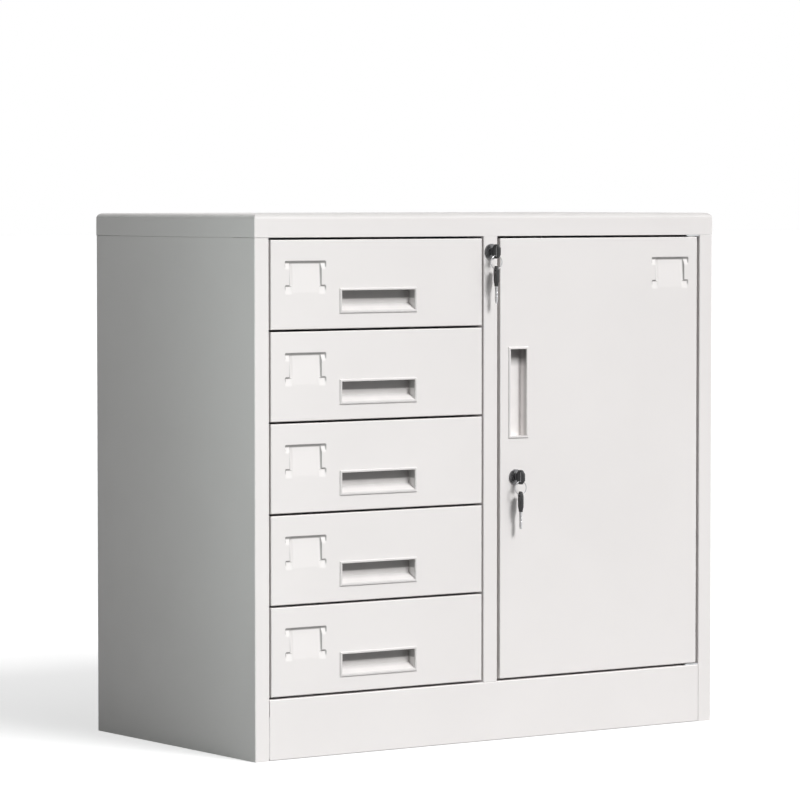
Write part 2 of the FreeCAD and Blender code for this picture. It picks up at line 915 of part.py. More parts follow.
def drawer_front(name, low):
    body = new_body(name, x=drawer_left, z=low)
    front_pan(body, as_size(0), drawer_width, as_size(0), drawer_height, front_depth, front_return)
    press_label(body, drawer_label_in, drawer_label_up + label_height / 2)
    pull_window(body, drawer_width / 2, drawer_pull_up, False)
    return body


def drawer_tray(name, low):
    """The drawer's box: its sides fold out over the slides, and a tab meets the lock bar."""
    body = new_body(name, x=tray_left, y=front_depth, z=low + tray_rise)
    block = rectangle(0, 0, tray_width, tray_length)
    pad(body, "tray_block", "XY_Plane", 0, tray_height, block)
    round_edges(body, "tray_bends", bend, along("Y", (0, 0), (tray_width, 0)))
    hollow(body, "tray_skin", tray_skin, "Z", tray_height)
    for side, start, end in (
        ("left", -tray_hem, tray_skin / 2),
        ("right", tray_width - tray_skin / 2, tray_width + tray_hem),
    ):
        hem = rectangle(start, tray_skin / 2, end, tray_length - tray_skin / 2)
        pad(body, side + "_hem", "XY_Plane", tray_height - tray_skin, tray_height, hem)
    catch_front = bar_start + bar_thick + catch_gap - front_depth
    catch_low = finger_rise + finger_height + catch_lift - tray_rise
    catch_high = catch_low + catch_height
    tab = rectangle(tray_width - tray_skin / 2, catch_low, tray_width + catch_width, catch_high)
    pad(body, "lock_tab", "XZ_Plane", catch_front, catch_front + bar_thick, tab)
    return body


def pull(name, x, z, turn):
    """A moulded recessed pull: bevelled frame, finger pocket with a sloping floor, end catches."""
    body = new_body(name, x=x, z=z)
    bind(body, "Placement.Rotation.Angle", turn)
    body.Placement.Rotation.Axis = FreeCAD.Vector(0, 1, 0)
    half_length = pull_length / 2
    half_height = pull_height / 2
    open_length = pull_opening_length / 2
    open_height = pull_opening_height / 2
    frame = rectangle(-half_length, -half_height, half_length, half_height)
    pad(body, "frame", "XZ_Plane", -pull_proud, 0, frame)
    chamfer_edges(body, "frame_bevel", pull_chamfer, lies_at("Y", -pull_proud))
    outside = polygon(
        (0, -open_height - pull_wall),
        (0, open_height + pull_wall),
        (pull_depth + pull_wall, open_height + pull_wall),
        (pull_depth + pull_wall, -open_height + pull_slope - pull_wall / 2),
        (pull_wall, -open_height - pull_wall),
    )
    pad(body, "housing", "YZ_Plane", -open_length - pull_wall, open_length + pull_wall, outside)
    inside = polygon(
        (-pull_proud - 1, -open_height),
        (-pull_proud - 1, open_height),
        (pull_depth, open_height),
        (pull_depth, -open_height + pull_slope),
        (-pull_proud, -open_height),
    )
    pocket(body, "finger_pocket", "YZ_Plane", -open_length, open_length, inside)
    catch_low = skin + pull_play
    half_catch = pull_catch_length / 2
    for side, sign in (("left", -1), ("right", 1)):
        root = sign * (open_length + pull_wall / 2)
        edge = sign * (open_length + pull_wall)
        tip = sign * (open_length + pull_wall + pull_play + pull_catch)
        wedge = polygon(
            (root, catch_low),
            (tip, catch_low),
            (edge, catch_low + 3 * pull_catch),
            (root, catch_low + 3 * pull_catch),
        )
        pad(body, side + "_catch", "XY_Plane", -half_catch, half_catch, wedge)
    return body


# Door


def door_panel():
    body = new_body("door_panel")
    front_pan(body, door_left, door_right, door_bottom, door_top, door_depth, door_return)
    press_label(body, door_right - door_label_in, door_top - door_label_down + label_height / 2)
    pull_window(body, door_pull_x, door_pull_height, True)
    lock_hole(body, door_lock_x, door_lock_height)
    hole = circle(pivot_x, pivot_back, pivot_radius + pivot_fit + bush_wall)
    pocket(body, "lower_bush_hole", "XY_Plane", door_bottom - 1, door_bottom + 2 * skin, hole)
    pocket(body, "upper_bush_hole", "XY_Plane", door_top - 2 * skin, door_top + 1, hole)
    return body


def door_stiffener():
    """A hat section behind the door's skin, from the bottom return to the top one."""
    body = new_body("door_stiffener")
    middle = (door_left + door_right) / 2
    half = stiffener_width / 2
    crown = half - stiffener_flange
    rear = door_depth - skin
    profile = polygon(
        (middle - half, skin),
        (middle - crown, skin),
        (middle - crown + skin, rear - skin),
        (middle + crown - skin, rear - skin),
        (middle + crown, skin),
        (middle + half, skin),
        (middle + half, 2 * skin),
        (middle + crown + skin / 2, 2 * skin),
        (middle + crown - skin / 2, rear),
        (middle - crown + skin / 2, rear),
        (middle - crown - skin / 2, 2 * skin),
        (middle - half, 2 * skin),
    )
    low, high = door_bottom + front_bend, door_top - front_bend
    pad(body, "stiffener_fold", "XY_Plane", low, high, profile)
    return body


def door_hinge_bushes():
    """Two nylon bushes with square flanges in the door, which turn on the pivot pins."""
    body = new_body("door_hinge_bushes", x=pivot_x, y=pivot_back)
    bore = pivot_radius + pivot_fit
    sleeve = bore + bush_wall
    flange = sleeve + bush_flange
    for side, inner, outer, tip in (
        ("lower", door_bottom, door_bottom - bush_thick, door_bottom + bush_sleeve),
        ("upper", door_top, door_top + bush_thick, door_top - bush_sleeve),
    ):
        low, high = (outer, inner) if side == "lower" else (inner, outer)
        square = rectangle(-flange, -flange, flange, flange)
        pad(body, side + "_flange", "XY_Plane", low, high, square, circle(0, 0, bore))
        low, high = (inner, tip) if side == "lower" else (tip, inner)
        pad(body, side + "_sleeve", "XY_Plane", low, high, circle(0, 0, sleeve), circle(0, 0, bore))
    return body


def hinge_brackets():
    """A plate with a pivot pin on the plinth and its mirror under the cap."""
    body = new_body("hinge_brackets")
    left = stile_right - bracket_length
    plate = rectangle(left, front_bend, stile_right, front_bend + bracket_depth)
    pin = circle(pivot_x, pivot_back, pivot_radius)
    low = plinth_height
    pad(body, "lower_plate", "XY_Plane", low, low + bracket_plate, plate)
    pad(body, "lower_pin", "XY_Plane", low + bracket_plate, low + bracket_plate + pivot_pin, pin)
    high = opening_top
    pad(body, "upper_plate", "XY_Plane", high - bracket_plate, high, plate)
    pad(body, "upper_pin", "XY_Plane", high - bracket_plate - pivot_pin, high - bracket_plate, pin)
    return body


def shelf():
    """A folded shelf in the door compartment, behind the stile and the post."""
    body = new_body("shelf")
    left = post_left + skin + clip_skin + shelf_play
    right = width - skin - clip_skin - shelf_play
    front = stile_return + foot_flange
    rear = back_inner - skin - shelf_play
    outline = rectangle(left, front, right, rear)
    pad(body, "shelf_block", "XY_Plane", shelf_height - shelf_flange, shelf_height, outline)
    round_edges(body, "shelf_bend", bend, along("X", (front, shelf_height)))
    hollow(body, "shelf_skin", skin, "Z", shelf_height - shelf_flange)
    return body


def shelf_clips():
    """Four angle clips, two on each wall of the compartment, under the shelf's side flanges."""
    body = new_body("shelf_clips")
    top = shelf_height - shelf_flange
    front = stile_return + foot_flange + clip_inset
    rear = back_inner - clip_inset
    for wall_name, wall, sign in (("left", post_left + skin, 1), ("right", width - skin, -1)):
        profile = polygon(
            (wall, top - clip_skin),
            (wall + sign * clip_ledge, top - clip_skin),
            (wall + sign * clip_ledge, top),
            (wall + sign * clip_skin, top),
            (wall + sign * clip_skin, top + clip_height),
            (wall, top + clip_height),
        )
        for end_name, start in (("front", front), ("rear", rear - clip_width)):
            name = f"{wall_name}_{end_name}_clip"
            pad(body, name, "XZ_Plane", start, start + clip_width, profile)
    return body


# Locks


def lock_housing(name, x, z):
    """The lock's threaded barrel with its bezel and two flats."""
    body = new_body(name, x=x, z=z)
    bore = plug_radius + plug_fit
    profile = polygon(
        (bore, -bezel_proud),
        (bezel_radius, -bezel_proud),
        (bezel_radius, 0),
        (lock_radius, 0),
        (lock_radius, lock_length),
        (bore, lock_length),
    )
    revolve(body, "barrel", profile)
    over = lock_radius + 1
    for side, low, high in (("lower", -over, -lock_flat), ("upper", lock_flat, over)):
        flat = rectangle(-over, low, over, high)
        pocket(body, side + "_flat", "XZ_Plane", 0, lock_length + 1, flat)
    for side, left, right in (("left", -over, -lock_flat), ("right", lock_flat, over)):
        groove = rectangle(left, -over, right, over)
        pocket(body, side + "_groove", "XZ_Plane", skin, skin + clip_thick, groove)
    return body


def lock_clip(name, x, z):
    """The forked spring plate that slides into the barrel's grooves behind the panel."""
    body = new_body(name, x=x, z=z)
    inner = lock_flat + clip_fit
    fork = polygon(
        (-clip_half_width, -clip_drop),
        (clip_half_width, -clip_drop),
        (clip_half_width, clip_rise),
        (inner, clip_rise),
        (inner, -lock_radius - clip_fit),
        (-inner, -lock_radius - clip_fit),
        (-inner, clip_rise),
        (-clip_half_width, clip_rise),
    )
    pad(body, "fork", "XZ_Plane", skin, skin + clip_thick, fork)
    return body


def lock_plug(name, x, z):
    """The turning plug: keyway in front, a square behind the barrel for the cam."""
    body = new_body(name, x=x, z=z)
    profile = rectangle(0, -bezel_proud, plug_radius, lock_length)
    revolve(body, "plug", profile)
    half = plug_square / 2
    square = rectangle(-half, -half, half, half)
    rear = lock_length + cam_gap + cam_thick
    pad(body, "cam_square", "XZ_Plane", lock_length, rear, square)
    slot_x = blade_thick / 2 + keyway_play
    slot_z = blade_half_width + keyway_play
    keyway = rectangle(-slot_x, -slot_z, slot_x, slot_z)
    end = blade_length - key_gap - bezel_proud + 2 * keyway_play
    pocket(body, "keyway", "XZ_Plane", -bezel_proud - 1, end, keyway)
    return body


def plug_arm(body, reach, half, turn):
    """The strap that a plug carries on its square, turned clockwise from straight up."""
    angle = math.radians(turn)
    cut = arm_corner

    def place(out, side):
        out, side = as_size(out), as_size(side)
        x = out * math.sin(angle) + side * math.cos(angle)
        z = out * math.cos(angle) - side * math.sin(angle)
        return (x, z)

    tail = -plug_radius
    strap = polygon(
        place(tail, -half),
        place(reach - cut, -half),
        place(reach, cut - half),
        place(reach, half - cut),
        place(reach - cut, half),
        place(tail, half),
    )
    front = lock_length + cam_gap
    rear = front + cam_thick
    pad(body, "arm", "XZ_Plane", front, rear, strap)
    side = plug_square / 2
    square = rectangle(-side, -side, side, side)
    pocket(body, "arm_square", "XZ_Plane", front - 1, rear + 1, square)
    return rear


def drawer_lock_crank():
    """The arm behind the drawer lock, whose pin lifts the lock bar."""
    body = new_body("drawer_lock_crank", x=post_middle, z=drawer_lock_height)
    reach = crank_throw + crank_pin_radius + skin
    rear = plug_arm(body, reach, crank_half_width, 135)
    side = crank_throw * math.sqrt(0.5)
    end = bar_start + bar_thick + finger_play
    pad(body, "crank_pin", "XZ_Plane", rear, end, circle(side, -side, crank_pin_radius))
    return body


def door_lock_cam():
    """The cam behind the door lock, hanging down while the door is unlocked."""
    body = new_body("door_lock_cam", x=door_lock_x, z=door_lock_height)
    plug_arm(body, cam_reach, cam_half_width, 180)
    return body


def lock_bar():
    """The gang bar: a strip with one finger for each drawer and a cross slot for the crank pin."""
    body = new_body("lock_bar")
    left = post_left + bar_left
    right = left + bar_width
    first = plinth_height + front_gap + finger_rise
    low = first - bar_tail
    high = drawer_lock_height + bar_top_margin
    rear = bar_start + bar_thick
    pad(body, "strip", "XZ_Plane", bar_start, rear, rectangle(left, low, right, high))
    finger = rectangle(post_left - finger_reach, first, left + skin, first + finger_height)
    tooth = pad(body, "finger", "XZ_Plane", bar_start, rear, finger)
    repeat(body, "fingers", tooth, "Z_Axis", drawer_pitch, drawer_count)
    pin_low = drawer_lock_height - crank_throw * math.sqrt(0.5)
    half = crank_pin_radius + crank_pin_play
    slot_left = post_middle + crank_throw * math.sqrt(0.5) - half
    slot_right = post_middle + crank_throw + half
    slot = rectangle(slot_left, pin_low - half, slot_right, pin_low + half)
    pocket(body, "pin_slot", "XZ_Plane", bar_start - 1, rear + 1, slot)
    return body


def lock_bar_guides():
    """Nylon guides on the partition that the bar's left edge runs in."""
    body = new_body("lock_bar_guides")
    wall = post_left + 2 * skin
    bar_edge = post_left + bar_left - guide_play
    front = bar_start - guide_play - guide_wall
    rear = bar_start + bar_thick + guide_play + guide_wall
    profile = polygon(
        (wall, front),
        (wall + guide_width, front),
        (wall + guide_width, front + guide_wall),
        (bar_edge, front + guide_wall),
        (bar_edge, rear - guide_wall),
        (wall + guide_width, rear - guide_wall),
        (wall + guide_width, rear),
        (wall, rear),
    )
    low = plinth_height + front_gap + finger_rise + drawer_pitch / 2
    guide = pad(body, "guide", "XY_Plane", low, low + guide_height, profile)
    repeat(body, "guides", guide, "Z_Axis", drawer_pitch, drawer_count - 1)
    return body


# Keys

SPARE_TURN_DEG = 20


def key_bow(name, x, y, z, hanging):
    """A moulded key head: an eight-sided grip, a neck, and a cross slot or eye for the ring."""
    body = new_body(name, x=x, y=y, z=z)
    lay_key(body, hanging)
    length = spare_bow_length if hanging else bow_length
    half_length = spare_bow_half if hanging else bow_half
    wide = spare_bow_radius if hanging else bow_radius
    eye = spare_eye_down - spare_bow_length if hanging else half_length - length
    eye_half = spare_eye_half if hanging else slot_half
    grip = half_length - length
    long_cut = half_length - bow_corner
    cut = wide - bow_corner
    outline = polygon(
        (grip - half_length, -cut),
        (grip - long_cut, -wide),
        (grip + long_cut, -wide),
        (grip + half_length, -bow_neck),
        (0, -bow_neck),
        (0, bow_neck),
        (grip + half_length, bow_neck),
        (grip + long_cut, wide),
        (grip - long_cut, wide),
        (grip - half_length, cut),
    )
    half = bow_thick / 2
    hole = rectangle(eye - slot_radius, -eye_half, eye + slot_radius, eye_half)
    pad(body, "grip", "YZ_Plane", -half, half, outline, hole)
    chamfer_edges(body, "bow_chamfer", bow_chamfer, lies_at("X", half, -half))
    mouth = blade_thick / 2
    socket = rectangle(-mouth, -blade_half_width, mouth, blade_half_width)
    pocket(body, "blade_socket", "XZ_Plane", -socket_depth, 1, socket)
    return body


def key_blade(name, x, y, z, hanging):
    """A flat steel blade with cuts along one edge, its root held in the bow."""
    body = new_body(name, x=x, y=y, z=z)
    lay_key(body, hanging)
    half = blade_thick / 2
    edge = blade_half_width
    points = [(-socket_depth, -edge), (-socket_depth, edge), (blade_length - edge, edge)]
    points += [(blade_length, edge - 2 * blade_notch), (blade_length, -edge + 2 * blade_notch)]
    points += [(blade_length - edge, -edge)]
    step = (blade_length - 2 * edge) / 3
    for i in (2, 1):
        middle = edge + step * (i - 0.5)
        points += [
            (middle + blade_notch, -edge),
            (middle, -edge + blade_notch),
            (middle - blade_notch, -edge),
        ]
    pad(body, "blade", "YZ_Plane", -half, half, polygon(*points))
    return body


def lay_key(body, hanging):
    """A key points into its lock along +Y, or hangs blade down, turned a little on its ring."""
    if hanging:
        turn = FreeCAD.Rotation(FreeCAD.Vector(0, 0, 1), -SPARE_TURN_DEG)
        drop = FreeCAD.Rotation(FreeCAD.Vector(1, 0, 0), -90)
        body.Placement.Rotation = turn * drop


def key_ring(name, x, y, z):
    """A ring of flat wire in an upright plane across the key."""
    body = new_body(name, x=x, y=y, z=z)
    inner = ring_radius - ring_wire
    outer = ring_radius + ring_wire
    revolve(body, "ring", rectangle(inner, -ring_wire, outer, ring_wire))
    return body


def lock_set(prefix, x, z):
    """Everything at one lock: housing, clip, plug, the key in it, the ring and the spare key."""
    shoulder = -bezel_proud - key_gap
    ring_y = shoulder - bow_slot
    spare_top = z + spare_bow_top
    pieces = [
        lock_housing(prefix + "_lock_housing", x, z),
        lock_clip(prefix + "_lock_clip", x, z),
        lock_plug(prefix + "_lock_plug", x, z),
        key_bow(prefix + "_key_bow", x, shoulder, z, False),
        key_blade(prefix + "_key_blade", x, shoulder, z, False),
        key_ring(prefix + "_key_ring", x, ring_y, z + ring_middle),
        key_bow(prefix + "_spare_key_bow", x, ring_y, spare_top - spare_bow_length, True),
        key_blade(prefix + "_spare_key_blade", x, ring_y, spare_top - spare_bow_length, True),
    ]
    return pieces


def drawer_set(number):
    """One drawer, counted from the top: front, tray, pull and its pair of inner rails."""
    up = drawer_count - number
    low = plinth_height + front_gap + drawer_pitch * up
    name = f"drawer_{number}"
    return [
        drawer_front(name + "_front", low),
        drawer_tray(name + "_tray", low),
        pull(name + "_pull", drawer_left + drawer_width / 2, low + drawer_pull_up, 0),
        inner_rails(name + "_inner_rails", up),
    ]


def cabinet():
    pieces = [
        top_cap(),
        side_panel("left_side_panel", False),
        side_panel("right_side_panel", True),
        back_panel(),
        plinth(),
        bottom_panel(),
        partition_panel(),
        centre_post(),
        left_rail_upright(),
        outer_rails("left_outer_rails", stile, 1),
        outer_rails("right_outer_rails", post_left, -1),
        shelf(),
        shelf_clips(),
        hinge_brackets(),
        lock_bar(),
        lock_bar_guides(),
        drawer_lock_crank(),
        door_panel(),
        door_stiffener(),
        pull("door_pull", door_pull_x, door_pull_height, 90),
        door_hinge_bushes(),
        door_lock_cam(),
    ]
    for i in range(int(drawer_count.value)):
        pieces += drawer_set(i + 1)
    pieces += lock_set("drawer", post_middle, drawer_lock_height)
    pieces += lock_set("door", door_lock_x, door_lock_height)
    return pieces


def check(pieces):
    """Stop if anything failed to build, or if a cut took nothing away."""
    for item in doc.Objects:
        if "Invalid" in item.State or "Error" in item.State:
            raise RuntimeError(f"{item.Label} failed: {item.State}")
    for cut in cuts:
        if cut.Shape.Volume > cut.BaseFeature.Shape.Volume - 0.01:
            raise RuntimeError(f"{cut.Label} cuts nothing")
    for piece in pieces:
        if piece.Shape.isNull() or not piece.Shape.isValid():
            raise RuntimeError(f"{piece.Label} is not a valid solid")


pieces = cabinet()
doc.recompute()
check(pieces)
os.makedirs("parts", exist_ok=True)
for piece in pieces:
    piece.Shape.exportStep(f"parts/{piece.Label}.step")
print(len(pieces), "pieces written")
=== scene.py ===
import json
import math

import bmesh
import bpy
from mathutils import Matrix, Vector


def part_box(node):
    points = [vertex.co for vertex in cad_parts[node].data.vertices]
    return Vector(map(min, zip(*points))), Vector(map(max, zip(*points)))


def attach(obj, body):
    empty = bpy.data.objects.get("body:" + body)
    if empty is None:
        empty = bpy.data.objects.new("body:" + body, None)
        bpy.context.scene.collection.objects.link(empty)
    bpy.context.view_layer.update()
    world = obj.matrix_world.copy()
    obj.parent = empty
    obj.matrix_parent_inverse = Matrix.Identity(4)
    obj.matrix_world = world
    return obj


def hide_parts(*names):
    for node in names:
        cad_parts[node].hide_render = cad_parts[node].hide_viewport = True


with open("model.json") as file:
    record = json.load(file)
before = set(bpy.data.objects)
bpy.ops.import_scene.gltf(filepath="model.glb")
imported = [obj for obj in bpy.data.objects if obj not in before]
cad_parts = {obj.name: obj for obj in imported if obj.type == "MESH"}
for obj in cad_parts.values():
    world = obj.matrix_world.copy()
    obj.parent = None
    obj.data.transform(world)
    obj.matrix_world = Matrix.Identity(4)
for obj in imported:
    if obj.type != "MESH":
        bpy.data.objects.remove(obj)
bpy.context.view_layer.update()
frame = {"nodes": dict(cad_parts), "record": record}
nodes = frame["nodes"]
bodies = frame["record"]["behaviour"]["bodies"]
body_of_node = {node: body for body, members in bodies.items() for node in members}

MM = 0.001
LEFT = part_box("left_side_panel")[0].x
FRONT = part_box("left_side_panel")[0].y
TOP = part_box("top_cap")[1].z
DRAWERS = range(1, 6)
LOCKS = ("drawer", "door")


def at(x, y, z):
    """A point from millimetres off the cabinet's left edge, front and floor."""
    return Vector((LEFT + x * MM, FRONT + y * MM, z * MM))


# Materials

COLOUR_A, COLOUR_B, MIXED_COLOUR = 6, 7, 2


def shade(colour, factor):
    return tuple(part * factor for part in colour)


class Material:
    """A surface whose noise is measured in the metres of the cabinet at rest."""

    def __init__(self, name, colour, roughness, metallic=0.0):
        self.material = bpy.data.materials.new(name)
        self.material.use_nodes = True
        self.tree = self.material.node_tree
        self.surface = self.tree.nodes["Principled BSDF"]
        self.surface.inputs["Base Color"].default_value = (*colour, 1)
        self.surface.inputs["Roughness"].default_value = roughness
        self.surface.inputs["Metallic"].default_value = metallic
        self.place = self.add("ShaderNodeTexCoord").outputs["Object"]
        self.normal = None

    def add(self, kind, **values):
        node = self.tree.nodes.new(kind)
        for key, value in values.items():
            setattr(node, key, value)
        return node

    def link(self, source, target):
        self.tree.links.new(source, target)

    def axes(self):
        """The place's X, Y and Z, each by its name."""
        node = self.add("ShaderNodeSeparateXYZ")
        self.link(self.place, node.inputs["Vector"])
        return node.outputs

    def stretched(self, scale):
        """The place, stretched along the axes, for grain that runs one way."""
        mapping = self.add("ShaderNodeMapping")
        mapping.inputs["Scale"].default_value = scale
        self.link(self.place, mapping.inputs["Vector"])
        return mapping.outputs["Vector"]

    def noise(self, scale, detail=2.0, place=None):
        node = self.add("ShaderNodeTexNoise")
        node.inputs["Scale"].default_value = scale
        node.inputs["Detail"].default_value = detail
        self.link(place or self.place, node.inputs["Vector"])
        return node.outputs["Fac"]

    def spread(self, value, low, high, start=0.35, end=0.65):
        """The value mapped from start..end to low..high."""
        node = self.add("ShaderNodeMapRange")
        limits = {"From Min": start, "From Max": end, "To Min": low, "To Max": high}
        for socket, number in limits.items():
            node.inputs[socket].default_value = number
        self.link(value, node.inputs["Value"])
        return node.outputs["Result"]

    def product(self, first, second):
        node = self.add("ShaderNodeMath", operation="MULTIPLY")
        self.link(first, node.inputs[0])
        self.link(second, node.inputs[1])
        return node.outputs[0]

    def wrapped(self, value, low, high):
        """The value, repeated between two limits."""
        node = self.add("ShaderNodeMath", operation="WRAP")
        self.link(value, node.inputs[0])
        node.inputs[1].default_value = high
        node.inputs[2].default_value = low
        return node.outputs[0]

    def colours(self, value, low, high):
        """Two colours mixed by the value."""
        node = self.add("ShaderNodeMix", data_type="RGBA")
        self.link(self.spread(value, 0, 1), node.inputs["Factor"])
        node.inputs[COLOUR_A].default_value = (*low, 1)
        node.inputs[COLOUR_B].default_value = (*high, 1)
        return node.outputs[MIXED_COLOUR]

    def toned(self, colour, factor, tone):
        """The colour, multiplied by the tone where the factor is 1."""
        node = self.add("ShaderNodeMix", data_type="RGBA", blend_type="MULTIPLY")
        self.link(factor, node.inputs["Factor"])
        self.link(colour, node.inputs[COLOUR_A])
        node.inputs[COLOUR_B].default_value = (tone, tone, tone, 1)
        return node.outputs[MIXED_COLOUR]

    def clouded(self, colour, scale, detail, low, high):
        """The colour with slow changes between two tones of it."""
        return self.colours(self.noise(scale, detail), shade(colour, low), shade(colour, high))

    def paint(self, colour):
        self.link(colour, self.surface.inputs["Base Color"])

    def rough(self, value, low, high):
        self.link(self.spread(value, low, high), self.surface.inputs["Roughness"])

    def bump(self, value, height, strength):
        """Relief of that height in metres, on top of what relief there is."""
        node = self.add("ShaderNodeBump")
        node.inputs["Strength"].default_value = strength
        node.inputs["Distance"].default_value = height
        self.link(value, node.inputs["Height"])
        if self.normal:
            self.link(self.normal, node.inputs["Normal"])
        self.normal = node.outputs["Normal"]
        self.link(self.normal, self.surface.inputs["Normal"])


def satin(made, colour):
    """The slow changes of tone in a sprayed coat."""
    return made.clouded(colour, 5, 3, 0.985, 1.01)


def orange_peel(made, roughness):
    """Uneven gloss and the fine dimples of a baked coat."""
    made.rough(made.noise(60, detail=4), roughness - 0.05, roughness + 0.05)
    made.bump(made.noise(650), 0.00003, 0.5)


def powder_coat(name, colour, roughness):
    """Satin powder coat on sheet that is a little uneven, with painted shade on the steep walls of
    its pressings.
    """
    made = Material(name, colour, roughness)
    coat = satin(made, colour)
    crease_shade = made.add("ShaderNodeAttribute", attribute_name="crease_shade").outputs["Fac"]
    # Painted shade: the coat darkens where the pressing's walls are steep
    made.paint(made.toned(coat, crease_shade, CREASE_SHADE_TONE))
    orange_peel(made, roughness)
    made.bump(made.noise(7, detail=1), 0.0004, 0.25)
    return made.material


def capped(name, colour, roughness):
    """Powder coat with painted shade over the top bends against the light that they catch, patchy
    with noise.
    """
    made = Material(name, colour, roughness)
    coat = satin(made, colour)
    height = made.spread(made.axes()["Z"], 0, 1, start=TOP - 7 * MM, end=TOP - 3 * MM)
    shade_patches = made.spread(made.noise(24, detail=4), 0.9, 1.0)
    # Painted shade over the top bends, uneven by noise
    made.paint(made.toned(coat, made.product(height, shade_patches), TOP_BEND_SHADE_TONE))
    orange_peel(made, roughness)
    return made.material


def plated(name, colour, roughness, grain=(1, 1, 1)):
    """Plated or drawn metal with fine grain and cloudy plating."""
    made = Material(name, colour, roughness, metallic=1.0)
    made.paint(made.clouded(colour, 90, 4, 0.88, 1.06))
    streaks = made.noise(900, detail=3, place=made.stretched(grain))
    made.rough(streaks, roughness - 0.07, roughness + 0.1)
    made.bump(streaks, 0.00002, 0.4)
    return made.material


def eroded(made, roughness, grain, height):
    """The fine texture that a spark-eroded mould leaves."""
    made.rough(made.noise(300, detail=3), roughness - 0.05, roughness + 0.06)
    made.bump(made.noise(grain, detail=3), height, 0.6)


def moulded(name, colour, roughness, grain, height):
    """Moulded plastic."""
    made = Material(name, colour, roughness)
    made.paint(made.clouded(colour, 40, 3, 0.97, 1.02))
    eroded(made, roughness, grain, height)
    return made.material


def recessed(name, colour, roughness, light_and_shade_zones, painted_shadow, pitch=None):
    """Moulded plastic with painted light and shade by depth, and a painted shadow at the upper end
    of its recess.

    The zones of painted light and shade are (start, end, tone) in millimetres behind the front,
    where a tone below 1 paints shade and above 1 paints light. The painted shadow is (start, end,
    tone) in millimetres of height, which repeats with the pitch if there is one.
    """
    made = Material(name, colour, roughness)
    coat = made.clouded(colour, 40, 3, 0.97, 1.02)
    axes = made.axes()
    depth, height = axes["Y"], axes["Z"]
    # Painted light and shade by depth behind the front
    for start, end, tone in light_and_shade_zones:
        zone = made.spread(depth, 0, 1, start=FRONT + start * MM, end=FRONT + end * MM)
        coat = made.toned(coat, zone, tone)
    # Painted shadow under the top wall of the recess, only on faces behind the front
    start, end, tone = painted_shadow
    if pitch:
        height = made.wrapped(height, (end - pitch / 2) * MM, (end + pitch / 2) * MM)
    inside = made.spread(depth, 0, 1, start=FRONT, end=FRONT + 2 * MM)
    upper = made.spread(height, 0, 1, start=start * MM, end=end * MM)
    made.paint(made.toned(coat, made.product(inside, upper), tone))
    eroded(made, roughness, 1500, 0.00001)
    return made.material


COAT = (0.80, 0.775, 0.765)
# How dark the painted shade on the pressings' steep walls makes the coat
CREASE_SHADE_TONE = 0.5
# How dark the painted shade over the cap's top bends makes the coat
TOP_BEND_SHADE_TONE = 0.72
DRAWER_PULL_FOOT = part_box("drawer_1_pull")[0].z / MM
DRAWER_PITCH = DRAWER_PULL_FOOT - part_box("drawer_2_pull")[0].z / MM
# Painted shade on the drawer pulls' rims and deep walls
DRAWER_PULL_LIGHT_AND_SHADE = ((0.5, -0.3, 0.86), (7, 12.8, 0.75))
# Painted shadow under the top of each drawer pull's recess
DRAWER_PULL_SHADOW = (DRAWER_PULL_FOOT + 18.0, DRAWER_PULL_FOOT + 19.4, 0.5)
# Painted light on the door pull's rim and deep walls, over a base colour darkened as painted shade
DOOR_PULL_LIGHT_AND_SHADE = ((0.5, -0.3, 1.29), (3, 9, 1.62), (12.9, 13, 0.86))
# Painted shadow under the top of the door pull's recess
DOOR_PULL_SHADOW = (496, 508, 0.4)

materials = {
    "powder_coat": powder_coat("powder_coat_satin", COAT, 0.42),
    "tray_coat": powder_coat("tray_coat_satin", shade(COAT, 0.97), 0.46),
    "moulded_pull": recessed(
        "pull_moulding", COAT, 0.38, DRAWER_PULL_LIGHT_AND_SHADE, DRAWER_PULL_SHADOW, DRAWER_PITCH
    ),
    "zinc_plate": plated("zinc_plating", (0.56, 0.57, 0.58), 0.36, grain=(1, 0.05, 1)),
    "lock_nickel": plated("lock_plating", (0.20, 0.20, 0.205), 0.30),
    "key_steel": plated("key_plating", (0.55, 0.55, 0.56), 0.28, grain=(1, 1, 0.1)),
    "ring_steel": plated("ring_plating", (0.46, 0.46, 0.47), 0.36),
    "black_moulding": moulded("bow_moulding", (0.028, 0.028, 0.030), 0.48, 2200, 0.00002),
    "nylon": moulded("nylon_moulding", (0.75, 0.74, 0.70), 0.45, 1800, 0.00001),
}
slot_of_node = {
    node: source.data.materials[0].name.split(".")[0] for node, source in nodes.items()
}
material_of_node = {node: materials[slot] for node, slot in slot_of_node.items()}
material_of_node["top_cap"] = capped("cap_coat_satin", COAT, 0.42)
# The door pull's base colour is darkened as painted shade, then lifted by painted light on its rim
# and deep walls
material_of_node["door_pull"] = recessed(
    "door_pull_moulding", shade(COAT, 0.72), 0.38, DOOR_PULL_LIGHT_AND_SHADE, DOOR_PULL_SHADOW
)
for node, source in nodes.items():
    source.data.materials[0] = material_of_node[node]


# Pieces

SHARP_EDGE = math.radians(25)
FLAT_SEAM = math.radians(0.4)
SAME_PLACE = 1e-6
FRONT_EDGE = 0.8
RING_WIRE = 1.2


def bare_copy(node):
    """A node's shape in whole faces, without the seams of its facets."""
    shape = bmesh.new()
    shape.from_mesh(nodes[node].data)
    bmesh.ops.remove_doubles(shape, verts=shape.verts, dist=SAME_PLACE)
    bmesh.ops.dissolve_limit(
        shape, angle_limit=FLAT_SEAM, verts=shape.verts, edges=shape.edges
    )
    return shape


